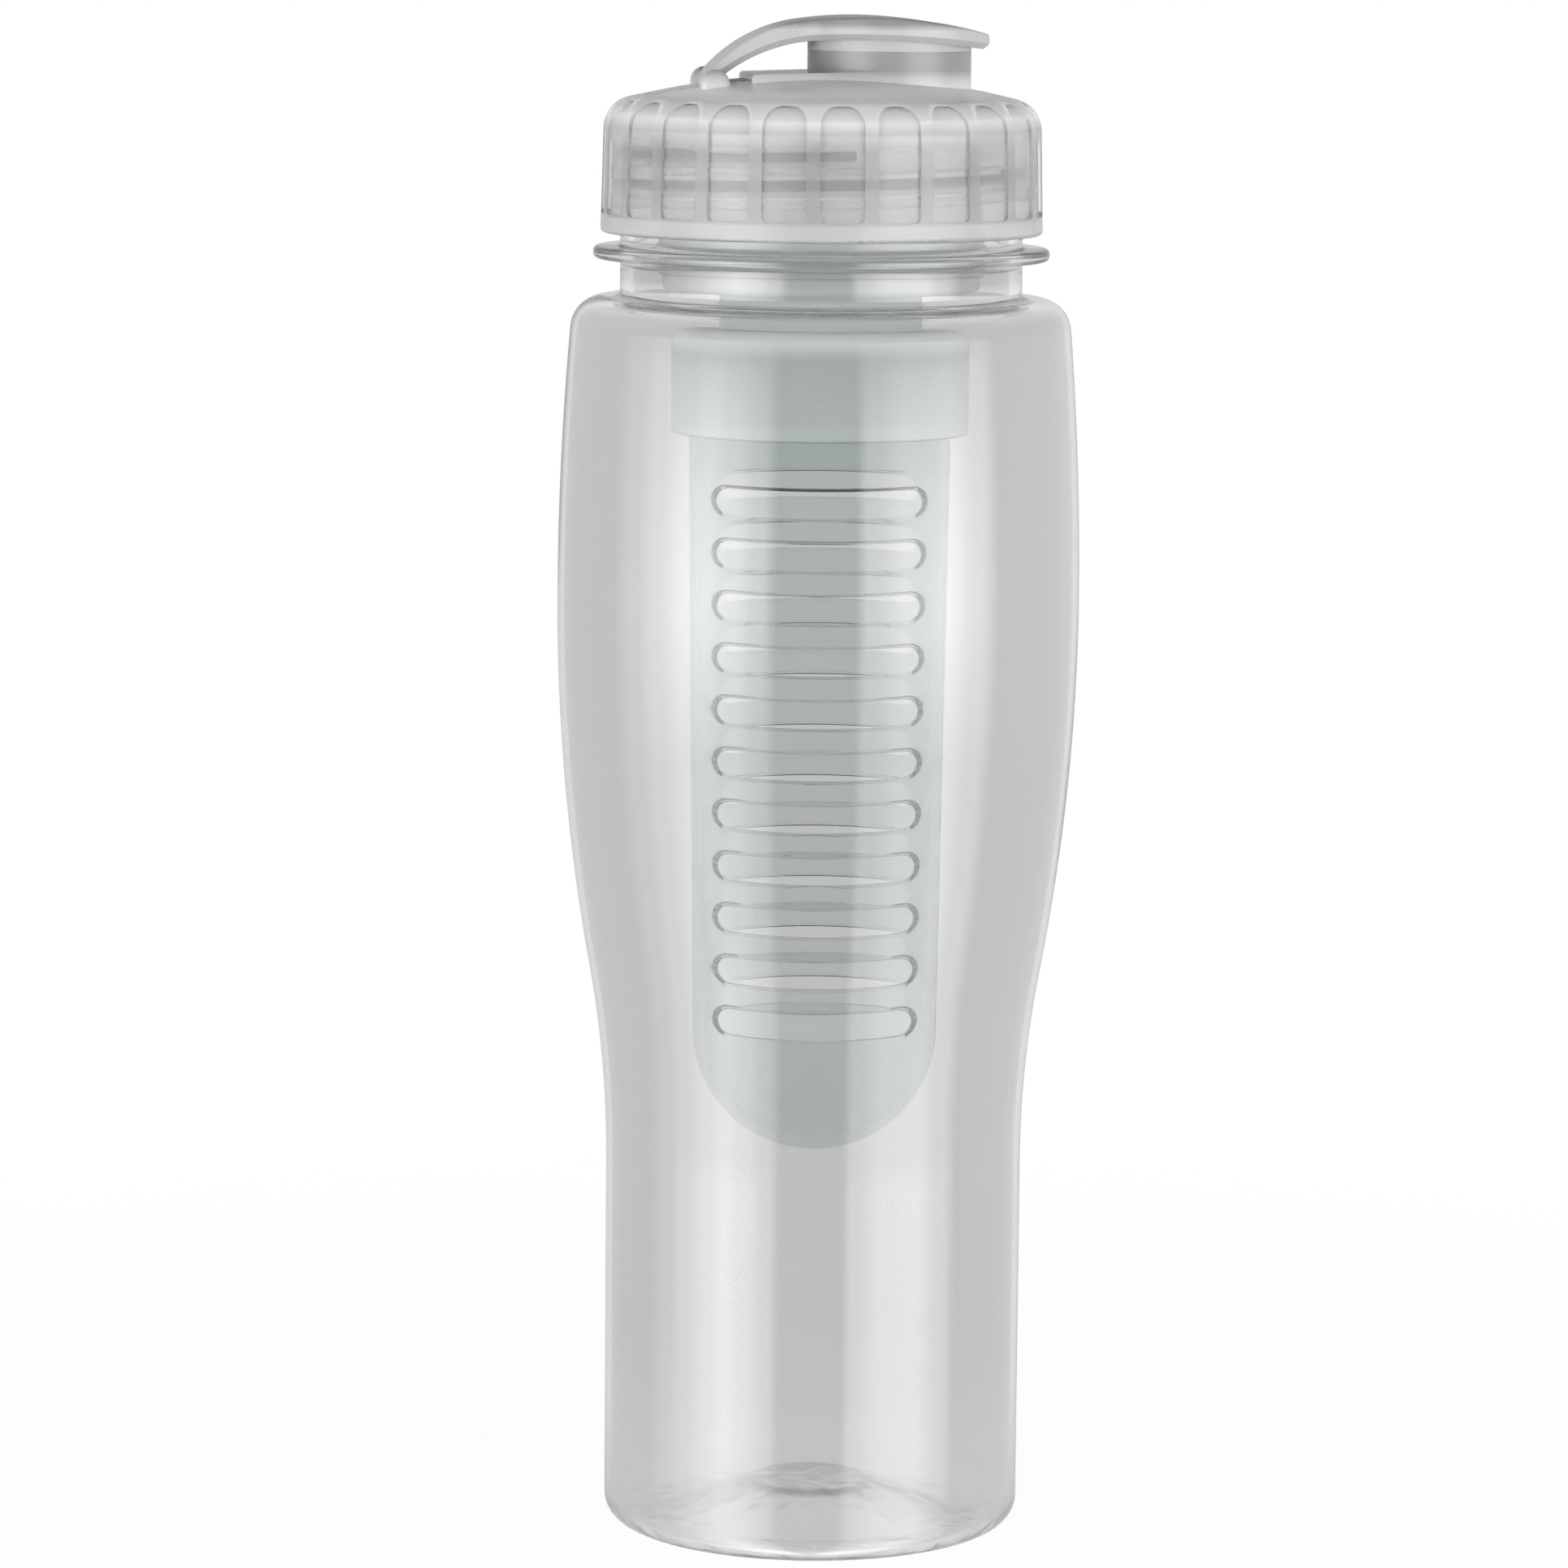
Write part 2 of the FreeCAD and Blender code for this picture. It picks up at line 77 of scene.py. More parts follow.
def giveMaterial(piece, material):
    piece.data.materials.clear()
    piece.data.materials.append(material)


def smoothByAngle(piece, degrees):
    makeActive(piece)
    bpy.ops.object.shade_smooth_by_angle(angle=math.radians(degrees))


# outlines are lists of (radius, height) in millimetres
def arcPoints(centre, radius, start, end, count):
    out = []
    for i in range(count + 1):
        a = math.radians(start + (end - start) * i / count)
        out.append((centre[0] + radius * math.cos(a), centre[1] + radius * math.sin(a)))
    return out


# a corner with a third number is rounded to that radius
def roundCorners(corners, count=6):
    out = [corners[0][:2]]
    for before, here, after in zip(corners, corners[1:], corners[2:]):
        if len(here) == 2:
            out.append(here)
            continue
        p, radius = Vector(here[:2]), here[2]
        back = (Vector(before[:2]) - p).normalized()
        ahead = (Vector(after[:2]) - p).normalized()
        half = back.angle(ahead) / 2
        centre = p + (back + ahead).normalized() * (radius / math.sin(half))
        first = p + back * (radius / math.tan(half)) - centre
        turn = first.angle_signed(p + ahead * (radius / math.tan(half)) - centre)
        for i in range(count + 1):
            a = -turn * i / count
            c, s = math.cos(a), math.sin(a)
            out.append((centre.x + first.x * c - first.y * s, centre.y + first.x * s + first.y * c))
    out.append(corners[-1][:2])
    return out


def latheShape(name, outline, steps):
    deselectAll()
    bpy.ops.mesh.primitive_plane_add(size=mm)
    piece = bpy.context.object
    piece.name = name
    piece.data.name = name
    bpy.ops.object.mode_set(mode="EDIT")
    bpy.ops.mesh.select_mode(type="VERT")
    bpy.ops.mesh.select_all(action="SELECT")
    bpy.ops.mesh.merge(type="CENTER")
    bpy.ops.mesh.select_all(action="SELECT")
    bpy.ops.transform.translate(value=(outline[0][0] * mm, 0, outline[0][1] * mm))
    for a, b in zip(outline, outline[1:]):
        step = ((b[0] - a[0]) * mm, 0, (b[1] - a[1]) * mm)
        bpy.ops.mesh.extrude_region_move(TRANSFORM_OT_translate={"value": step})
    bpy.ops.mesh.select_all(action="SELECT")
    bpy.ops.mesh.spin(steps=steps, angle=2 * math.pi, center=(0, 0, 0), axis=(0, 0, 1))
    bpy.ops.mesh.select_all(action="SELECT")
    bpy.ops.mesh.remove_doubles(threshold=meshing["mergeGap"] * mm)
    bpy.ops.mesh.normals_make_consistent(inside=False)
    bpy.ops.object.mode_set(mode="OBJECT")
    return piece


# one helical ridge, closed at both ends and faded out into its wall
def threadRidge(name, t):
    deselectAll()
    bpy.ops.mesh.primitive_plane_add(size=mm, rotation=(math.pi / 2, 0, 0))
    piece = bpy.context.object
    piece.name = name
    piece.data.name = name
    bpy.ops.object.transform_apply(location=True, rotation=True, scale=True)
    inner, outer = sorted((t["root"], t["crest"]))
    halfIn, halfOut = t["rootWidth"] / 2, t["crestWidth"] / 2
    if t["crest"] < t["root"]:
        halfIn, halfOut = halfOut, halfIn
    for vertex in piece.data.vertices:
        outside = vertex.co.x > 0
        half = halfOut if outside else halfIn
        x = outer if outside else inner
        vertex.co = (x * mm, 0, math.copysign(half, vertex.co.z) * mm)
    bpy.ops.object.mode_set(mode="EDIT")
    bpy.ops.mesh.select_all(action="SELECT")
    bpy.ops.mesh.delete(type="ONLY_FACE")
    bpy.ops.object.mode_set(mode="OBJECT")
    height = t["pitch"] * t["turns"]
    screw = piece.modifiers.new("thread", "SCREW")
    screw.axis = "Z"
    screw.angle = 2 * math.pi * t["turns"]
    screw.screw_offset = height * mm
    screw.steps = screw.render_steps = int(meshing["stepsPerTurn"] * t["turns"])
    screw.use_smooth_shade = True
    bpy.ops.object.modifier_apply(modifier="thread")
    bpy.ops.object.mode_set(mode="EDIT")
    bpy.ops.mesh.select_mode(type="EDGE")
    bpy.ops.mesh.select_all(action="DESELECT")
    bpy.ops.mesh.select_non_manifold(extend=False)
    bpy.ops.mesh.edge_face_add()
    bpy.ops.mesh.select_all(action="SELECT")
    bpy.ops.mesh.normals_make_consistent(inside=False)
    bpy.ops.object.mode_set(mode="OBJECT")
    fade = t["fadeTurns"] * t["pitch"]
    start = math.radians(t["topAngle"] - 360 * t["turns"])
    turned = Matrix.Rotation(start, 4, "Z")
    low = t["root"] + math.copysign(meshing["endRise"], t["crest"] - t["root"])
    for vertex in piece.data.vertices:
        along = vertex.co.z / mm  # near enough to the ridge's own height along the helix
        near = min(max(min(along, height - along) / fade, 0), 1)
        ease = near * near * (3 - 2 * near)
        flat = Vector((vertex.co.x, vertex.co.y, 0))
        radius = flat.length / mm
        if abs(radius - t["crest"]) < abs(radius - t["root"]):
            flat = flat.normalized() * ((low + (radius - low) * ease) * mm)
        vertex.co = turned @ Vector((flat.x, flat.y, vertex.co.z + (t["topZ"] - height) * mm))
    return piece


# materials
# how broken up the noise patterns are
noiseLook = {"roughness": 0.55, "rippleDetail": 2.0, "rippleDistortion": 1.0}


# a zone changes the wall where a sum of distance from the axis and height runs between two values
def addZone(tree, place, spot, zone, look):
    line = addNode(
        tree, "ShaderNodeVectorMath",
        {"operation": "DOT_PRODUCT", 1: (zone["out"], 0, zone["up"])}, {0: spot.outputs[0]},
    )
    mask = addNode(
        tree, "ShaderNodeMapRange",
        {"From Min": zone["start"] * mm, "From Max": zone["end"] * mm},
        {"Value": line.outputs["Value"]},
    ).outputs["Result"]
    look["tint"] = addNode(
        tree, "ShaderNodeMix", {"data_type": "RGBA", 7: hexColour(zone["colour"])},
        {0: mask, 6: look["tint"]},
    ).outputs[2]
    if "haze" in zone:
        look["rough"] = addNode(
            tree, "ShaderNodeMath", {"operation": "MULTIPLY_ADD", 1: zone["haze"]},
            {0: mask, 2: look["rough"]},
        ).outputs[0]
    if "transmission" in zone:
        clear = addNode(
            tree, "ShaderNodeMix",
            {"data_type": "FLOAT", "A": look["transmission"], "B": zone["transmission"]},
            {0: mask},
        )
        if "clear" in look:
            tree.links.new(look["clear"], clear.inputs["A"])
        look["clear"] = clear.outputs[0]
    if "ripple" in zone:
        size, depth = zone["ripple"]
        marks = addNode(
            tree, "ShaderNodeTexNoise",
            {"Scale": 1 / (size * mm), "Detail": noiseLook["rippleDetail"],
             "Distortion": noiseLook["rippleDistortion"]},
            {"Vector": place.outputs["Object"]},
        )
        look["normal"] = addNode(
            tree, "ShaderNodeBump", {"Distance": depth * mm},
            {"Strength": mask, "Height": marks.outputs["Fac"], "Normal": look["normal"]},
        ).outputs["Normal"]


# each moulded plastic has a tint with faint flow marks, a fine skin and a slow wave left by its
# mould, and the skin's grain is drawn coarser than the real one so that it shows
def mouldedPlastic(name, m):
    material = bpy.data.materials.new(name)
    material.use_nodes = True
    tree = material.node_tree
    shader = tree.nodes["Principled BSDF"]
    shader.inputs["IOR"].default_value = m["ior"]
    shader.inputs["Transmission Weight"].default_value = m["transmission"]
    shader.inputs["Specular IOR Level"].default_value = m["specular"]
    place = addNode(tree, "ShaderNodeTexCoord")
    noise = {}
    for kind in ("flow", "grain", "wave"):
        size, stretch, detail = m[kind]
        fit = addNode(
            tree, "ShaderNodeMapping", {"Scale": stretch}, {"Vector": place.outputs["Object"]}
        )
        noise[kind] = addNode(
            tree, "ShaderNodeTexNoise",
            {"Scale": 1 / (size * mm), "Detail": detail, "Roughness": noiseLook["roughness"]},
            {"Vector": fit.outputs["Vector"]},
        ).outputs["Fac"]
    look = {"transmission": m["transmission"]}
    look["tint"] = addNode(
        tree, "ShaderNodeMix",
        {"data_type": "RGBA", 6: hexColour(m["colour"]), 7: hexColour(m["streak"])},
        {0: noise["flow"]},
    ).outputs[2]
    look["rough"] = addNode(
        tree, "ShaderNodeMapRange", {"To Min": m["rough"][0], "To Max": m["rough"][1]},
        {"Value": noise["grain"]},
    ).outputs["Result"]
    look["normal"] = addNode(
        tree, "ShaderNodeBump", {"Strength": 1.0, "Distance": m["waveDepth"] * mm},
        {"Height": noise["wave"]},
    ).outputs["Normal"]
    if "zones" in m:
        flat = addNode(
            tree, "ShaderNodeVectorMath", {"operation": "MULTIPLY", 1: (1, 1, 0)},
            {0: place.outputs["Object"]},
        )
        away = addNode(tree, "ShaderNodeVectorMath", {"operation": "LENGTH"}, {0: flat.outputs[0]})
        split = addNode(tree, "ShaderNodeSeparateXYZ", {}, {0: place.outputs["Object"]})
        spot = addNode(
            tree, "ShaderNodeCombineXYZ", {}, {"X": away.outputs["Value"], "Z": split.outputs["Z"]}
        )
        for zone in m["zones"]:
            addZone(tree, place, spot, zone, look)
    tree.links.new(look["tint"], shader.inputs["Base Color"])
    tree.links.new(look["rough"], shader.inputs["Roughness"])
    if "clear" in look:
        tree.links.new(look["clear"], shader.inputs["Transmission Weight"])
    fine = addNode(
        tree, "ShaderNodeBump", {"Strength": 1.0, "Distance": m["grainDepth"] * mm},
        {"Height": noise["grain"], "Normal": look["normal"]},
    )
    tree.links.new(fine.outputs["Normal"], shader.inputs["Normal"])
    if "absorb" in m:
        fill = addNode(
            tree, "ShaderNodeVolumeAbsorption",
            {"Color": hexColour(m["absorb"]), "Density": m["absorbPerM"]},
        )
        tree.links.new(fill.outputs[0], tree.nodes["Material Output"].inputs["Volume"])
    return material


# clear grey wall with crisp upright highlights that bend with the waist
clearCopolyester = mouldedPlastic("clearCopolyester", {
    "colour": "#dfdfdf", "streak": "#dadada", "ior": 1.45, "transmission": 1.0, "specular": 0.5,
    "flow": (40, (1, 1, 0.25), 3.0), "grain": (6, (1, 1, 1), 4.0), "wave": (30, (1, 1, 0.18), 1.0),
    "rough": (0.0, 0.012), "grainDepth": 0.0003, "waveDepth": 0.05,
    "zones": (
        # hazier toward the foot and paler there as painted light, with ripples across the base
        {"out": 0, "up": -1, "start": -26.0, "end": -6.0, "colour": "#e2e2e2", "haze": 0.12},
        {"out": -0.5, "up": -1, "start": -18.0, "end": -12.0, "colour": "#e4e4e4",
         "ripple": (9, 0.45)},
        # painted light on the shoulder, painted shade at the root of the neck, and painted light on the
        # neck above its ring
        {"out": 0, "up": 1, "start": 183.0, "end": 185.0, "colour": "#e9e9e9"},
        {"out": 0, "up": 1, "start": 187.0, "end": 188.5, "colour": "#d6d6d6"},
        {"out": 0, "up": 1, "start": 193.2, "end": 194.6, "colour": "#fbfbfb"},
    ),
})
# the same plastic piled up in the thread, given a dark grey tint as painted shade, which shows as grey
# bands through the cap
ridgeShadeCopolyester = mouldedPlastic("ridgeShadeCopolyester", {
    "colour": "#4c4c4c", "streak": "#484848", "ior": 1.45, "transmission": 1.0, "specular": 0.5,
    "flow": (40, (1, 1, 0.25), 3.0), "grain": (6, (1, 1, 1), 4.0), "wave": (30, (1, 1, 0.18), 1.0),
    "rough": (0.02, 0.05), "grainDepth": 0.0003, "waveDepth": 0.02,
})
# glassy basket wall whose edges go faintly green where the light runs along the plastic
clearStyrene = mouldedPlastic("clearStyrene", {
    "colour": "#f0f4f2", "streak": "#ebf0ed", "ior": 1.4, "transmission": 1.0, "specular": 0.3,
    "flow": (30, (1, 1, 0.2), 3.0), "grain": (5, (1, 1, 1), 4.0), "wave": (24, (1, 1, 0.2), 1.0),
    "rough": (0.0, 0.015), "grainDepth": 0.0003, "waveDepth": 0.03,
    "absorb": "#95bfa6", "absorbPerM": 75,
    # paler ball end, as painted light
    "zones": ({"out": 0, "up": -1, "start": -86.0, "end": -76.0, "colour": "#f8faf9"},),
})
# frosted insert that glows pale green-grey and blurs what lies behind it
frostedInsert = mouldedPlastic("frostedPolypropyleneInsert", {
    "colour": "#dfe6e2", "streak": "#dae2de", "ior": 1.2, "transmission": 0.48, "specular": 0.15,
    "flow": (20, (1, 1, 0.3), 3.0), "grain": (1.2, (1, 1, 1), 4.0), "wave": (20, (1, 1, 0.3), 1.0),
    "rough": (0.2, 0.27), "grainDepth": 0.0003, "waveDepth": 0.02,
    # milkier and paler above the cup, painted light where the cup's top and the funnel shade it
    "zones": (
        {"out": 0, "up": 1, "start": 177.5, "end": 180.0, "colour": "#e8ecea", "transmission": 0.15},
    ),
})
# satin cap with the thread showing through its thin panels, while ribs, crown and spout stay cloudier
capSkirt = {"topR": 32.5, "topZ": 213.8, "draft": 1.3}
skirtLean = math.tan(math.radians(capSkirt["draft"]))
skirtFace = capSkirt["topR"] + capSkirt["topZ"] * skirtLean  # the sum on the skirt's outside
satinPolypropylene = mouldedPlastic("satinPolypropylene", {
    "colour": "#f6f6f6", "streak": "#f2f2f2", "ior": 1.3, "transmission": 0.85, "specular": 0.35,
    "flow": (18, (1, 1, 0.4), 3.0), "grain": (0.6, (1, 1, 1), 4.0), "wave": (16, (1, 1, 1), 1.0),
    "rough": (0.18, 0.24), "grainDepth": 0.0003, "waveDepth": 0.02,
    "zones": (
        # ribs between the panels, and the rim below them
        {"out": 1, "up": skirtLean, "start": skirtFace - 0.45, "end": skirtFace - 0.1,
         "colour": "#c0c0c0", "transmission": 0.66},
        {"out": 0, "up": -1, "start": -198.0, "end": -197.4, "colour": "#dedede"},
        # tops of the panels greyer and cloudier, crown paler as painted light, and spout darker as
        # painted shade under the lid
        {"out": 0, "up": 1, "start": 208.0, "end": 210.4, "colour": "#d4d4d4", "transmission": 0.55},
        {"out": 0, "up": 1, "start": 210.8, "end": 212.5, "colour": "#f1f1f1", "transmission": 0.42},
        {"out": 0, "up": 1, "start": 217.0, "end": 219.4, "colour": "#a0a0a0", "transmission": 0.3},
    ),
})
# the lid is solid and a shade deeper, with a soft sheen along its edge and painted shade on its top
lidPolypropylene = mouldedPlastic("satinPolypropyleneLid", {
    "colour": "#bcbcbc", "streak": "#b6b6b6", "ior": 1.4, "transmission": 0.15, "specular": 0.1,
    "flow": (18, (0.4, 1, 1), 3.0), "grain": (0.6, (1, 1, 1), 4.0), "wave": (16, (1, 1, 1), 1.0),
    "rough": (0.22, 0.3), "grainDepth": 0.0006, "waveDepth": 0.02,
    # painted shade: darker on the top of the disc
    "zones": ({"out": 0, "up": 1, "start": 225.2, "end": 226.2, "colour": "#868686"},),
})
# soft rubber rings, dull and milky, that close the gaps without catching the eye
milkySilicone = mouldedPlastic("milkySilicone", {
    "colour": "#e2e7e4", "streak": "#dde3df", "ior": 1.2, "transmission": 0.2, "specular": 0.15,
    "flow": (12, (1, 1, 1), 3.0), "grain": (0.6, (1, 1, 1), 4.0), "wave": (10, (1, 1, 1), 1.0),
    "rough": (0.25, 0.33), "grainDepth": 0.0006, "waveDepth": 0.02,
})
print("materials ready")

# bottle shell, with its neck thread
bottle = {
    "barrelR": 31.3, "bellyR": 39.0, "waistZ": 56.0, "bellyZ": 140.5, "shoulderZ": 185.7,
    "upperRadius": 476.7, "shoulderRound": 5.0, "waistShare": 0.34, "wall": 0.9, "baseWall": 1.2,
    "baseRound": 4.0, "footR": 21.0, "footRound": 2.5, "pushR": 9.0, "pushH": 5.0, "pushRound": 4.0,
    "neckR": 29.9, "boreR": 28.0, "lipZ": 209.5, "lipRound": 0.5, "rootRound": 0.91, "innerRound": 1.5,
    "ringR": 33.9, "ringZ": 191.3, "ringT": 1.8, "ringRound": 0.7, "barrelRows": (16, 28, 42),
    "steps": 144, "baseSteps": 8, "waistSteps": 12, "bellySteps": 16, "upperSteps": 10,
    "shoulderSteps": 12,
}
neckThread = {
    "root": 29.7, "crest": 31.0, "rootWidth": 2.4, "crestWidth": 0.9, "pitch": 4.23, "turns": 1.8,
    "topAngle": -86.0, "topZ": 207.9, "fadeTurns": 0.09,
}


# waist, belly, upper side and shoulder round as four arcs that run into each other
def bottleSide(b, inset):
    bend = 2 * math.atan((b["bellyR"] - b["barrelR"]) / (b["bellyZ"] - b["waistZ"]))
    both = (b["bellyZ"] - b["waistZ"]) / math.sin(bend)
    waistRadius = both * b["waistShare"]
    bellyRadius = both - waistRadius
    turn = math.degrees(bend)
    reach = b["upperRadius"] - b["shoulderRound"]
    lean = math.degrees(math.asin((b["shoulderZ"] - b["shoulderRound"] - b["bellyZ"]) / reach))
    waist = (b["barrelR"] + waistRadius, b["waistZ"])
    belly = (b["bellyR"] - bellyRadius, b["bellyZ"])
    upper = (b["bellyR"] - b["upperRadius"], b["bellyZ"])
    shoulder = arcPoints(upper, reach, lean, lean, 1)[0]
    out = arcPoints(waist, waistRadius + inset, 180, 180 - turn, b["waistSteps"])
    out += arcPoints(belly, bellyRadius - inset, -turn, 0, b["bellySteps"])[1:]
    out += arcPoints(upper, b["upperRadius"] - inset, 0, lean, b["upperSteps"])[1:]
    return out + arcPoints(shoulder, b["shoulderRound"] - inset, lean, 90, b["shoulderSteps"])[1:]


def makeBottle(b):
    w = b["wall"]
    ringTop = b["ringZ"] + b["ringT"]
    innerR = b["barrelR"] - w
    innerPush = b["pushH"] + b["baseWall"]
    outside, inside = bottleSide(b, 0), bottleSide(b, w)
    outline = roundCorners([
        (0, b["pushH"]), (b["pushR"], b["pushH"], b["pushRound"]), (b["footR"], 0, b["footRound"]),
        (b["barrelR"], 0, b["baseRound"]), *((b["barrelR"], z) for z in b["barrelRows"]),
    ], b["baseSteps"])
    outline += outside
    outline += roundCorners([
        outside[-1], (b["neckR"], b["shoulderZ"], b["rootRound"]),
        (b["neckR"], b["ringZ"], b["rootRound"]), (b["ringR"], b["ringZ"], b["ringRound"]),
        (b["ringR"], ringTop, b["ringRound"]), (b["neckR"], ringTop, b["rootRound"]),
        (b["neckR"], b["lipZ"], b["lipRound"]), (b["boreR"], b["lipZ"], b["lipRound"]),
        (b["boreR"], b["shoulderZ"] - w, b["innerRound"]), inside[-1],
    ])[1:]
    outline += inside[::-1][1:]
    outline += roundCorners([
        *((innerR, z) for z in reversed(b["barrelRows"])),
        (innerR, b["baseWall"], b["baseRound"] - w), (b["footR"], b["baseWall"], b["footRound"]),
        (b["pushR"], innerPush, b["pushRound"]), (0, innerPush),
    ], b["baseSteps"])
    shell = latheShape("bottleShell", outline, b["steps"])
    giveMaterial(shell, clearCopolyester)
    ridge = threadRidge("neckThread", neckThread)
    # the thread's dark grey tint is painted shade
    giveMaterial(ridge, ridgeShadeCopolyester)
    makeActive(shell)
    join = shell.modifiers.new("join", "BOOLEAN")
    join.operation = "UNION"
    join.solver = "EXACT"
    join.material_mode = "TRANSFER"
    join.object = ridge
    bpy.ops.object.modifier_apply(modifier="join")
    bpy.data.objects.remove(ridge)
    smoothByAngle(shell, meshing["smoothAngle"])
    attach(shell, "bottle")
    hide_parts("bottle_body")
    return shell


bottleShell = makeBottle(bottle)
print("bottle", len(bottleShell.data.polygons), "faces")

# threads inside the cap, inside the cup and round the basket's neck
capThread = {
    "root": 31.35, "crest": 30.2, "rootWidth": 1.8, "crestWidth": 0.7, "pitch": 4.23, "turns": 1.6,
    "topAngle": -40.0, "topZ": 205.7, "fadeTurns": 0.08, "body": "cap", "slot": "frosted_cap",
}
cupThread = {
    "root": 20.75, "crest": 20.05, "rootWidth": 1.3, "crestWidth": 0.5, "pitch": 3.2, "turns": 2.6,
    "topAngle": 30.0, "topZ": 176.2, "fadeTurns": 0.1, "body": "collar", "slot": "frosted_insert",
}
basketThread = {
    "root": 19.45, "crest": 20.35, "rootWidth": 1.3, "crestWidth": 0.5, "pitch": 3.2, "turns": 2.6,
    "topAngle": 30.0, "topZ": 177.8, "fadeTurns": 0.1, "body": "basket", "slot": "clear_basket",
}
for name, thread, material in (
    ("capThread", capThread, satinPolypropylene),
    ("cupThread", cupThread, frostedInsert),
    ("basketThread", basketThread, clearStyrene),
):
    ridge = threadRidge(name, thread)
    giveMaterial(ridge, material)
    smoothByAngle(ridge, meshing["smoothAngle"])
    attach(ridge, thread["body"])
print("threads added")

# finishes on the parts that keep their own solids
for node, material in (
    ("screw_cap", satinPolypropylene),
    ("flip_lid", lidPolypropylene),
    ("infuser_collar", frostedInsert),
    ("collar_seal", milkySilicone),
    ("cap_gasket", milkySilicone),
    ("infuser_basket", clearStyrene),
):
    giveMaterial(bpy.data.objects[node], material)
print("finishes set")

# floor, studio light and world, with the sizes here in metres
studio = {
    "floorM": 6.0, "floorGrid": 8, "paper": "#f4f4f4", "paperRough": 0.9,
    "shadowShare": 0.05, "shadowR": (0.08, 0.3), "ambient": (0.85, 0.35),
    # level for cloudy pieces out in the open and behind clear walls, by surfaces passed
    "shell": 1.6, "inside": 4.1, "passed": (2.0, 4.0),
    # mirrored level by degrees round from the camera, which fades with the direction's z
    "glints": (
        (-180, 0.6), (-104, 0.6), (-88, 2.8), (-76, 6.0), (-60, 10.8), (-50, 14.0),
        (-38, 11.4), (-26, 6.8), (-17, 0.6), (15, 0.6), (22, 6.6), (40, 11.4),
        (58, 12.0), (74, 6.6), (88, 1.2), (130, 0.9), (180, 0.6),
    ),
    "glintTop": (0.24, -0.1), "glintFoot": (-0.24, -0.1, 0.6),
    "boxes": (
        {"name": "leftSoftbox", "turn": -50, "tilt": 90, "distance": 0.9, "z": 0.1,
         "size": (0.8, 0.5), "power": 8.3},
        {"name": "rightSoftbox", "turn": 50, "tilt": 90, "distance": 0.9, "z": 0.1,
         "size": (0.8, 0.5), "power": 8.3},
        {"name": "topSoftbox", "turn": 0, "tilt": 0, "distance": 0.0, "z": 1.1,
         "size": (0.8, 0.8), "power": 0.3},
    ),
    "bounces": 28, "diffuseBounces": 8,  # many, for the layers of clear wall
}
# camera fitted to the photo, in millimetres, degrees and the photo's pixels
view = {
    "turn": -5.0, "distance": 972.0, "height": 242.0, "pitch": 7.59, "roll": 0.5, "aside": -4.86,
    "focalPx": 8042, "photoPx": 1932, "sensor": 36, "clipM": 0.01,
}


# 1 for what is seen straight on or through clear plastic, 0 for the rest
def seenThrough(tree, path):
    return addNode(
        tree, "ShaderNodeMath", {"operation": "MAXIMUM"},
        {0: path.outputs["Is Camera Ray"], 1: path.outputs["Is Transmission Ray"]},
    ).outputs[0]


# pale paper that looks white, with only a breath of shadow round the bottle's foot
def makeFloor(s):
    deselectAll()
    bpy.ops.mesh.primitive_grid_add(
        x_subdivisions=s["floorGrid"], y_subdivisions=s["floorGrid"], size=s["floorM"]
    )
    floor = bpy.context.object
    floor.name = "studioFloor"
    floor.visible_glossy = False
    material = bpy.data.materials.new("palePaper")
    material.use_nodes = True
    tree = material.node_tree
    paper = tree.nodes["Principled BSDF"]
    paper.inputs["Base Color"].default_value = hexColour(s["paper"])
    paper.inputs["Roughness"].default_value = s["paperRough"]
    glow = addNode(tree, "ShaderNodeEmission", {"Color": (1, 1, 1, 1), "Strength": 1.0})
    seen = seenThrough(tree, addNode(tree, "ShaderNodeLightPath"))
    place = addNode(tree, "ShaderNodeTexCoord")
    away = addNode(
        tree, "ShaderNodeVectorMath", {"operation": "LENGTH"}, {0: place.outputs["Object"]}
    )
    near, far = s["shadowR"]
    share = addNode(
        tree, "ShaderNodeMapRange",
        {"From Min": near, "From Max": far, "To Min": 1 - s["shadowShare"], "To Max": 1.0},
        {"Value": away.outputs["Value"]},
    )
    white = addNode(
        tree, "ShaderNodeMath", {"operation": "MULTIPLY"}, {0: seen, 1: share.outputs["Result"]}
    )
    blend = addNode(
        tree, "ShaderNodeMixShader", {},
        {0: white.outputs[0], 1: paper.outputs[0], 2: glow.outputs[0]},
    )
    tree.links.new(blend.outputs[0], tree.nodes["Material Output"].inputs["Surface"])
    giveMaterial(floor, material)


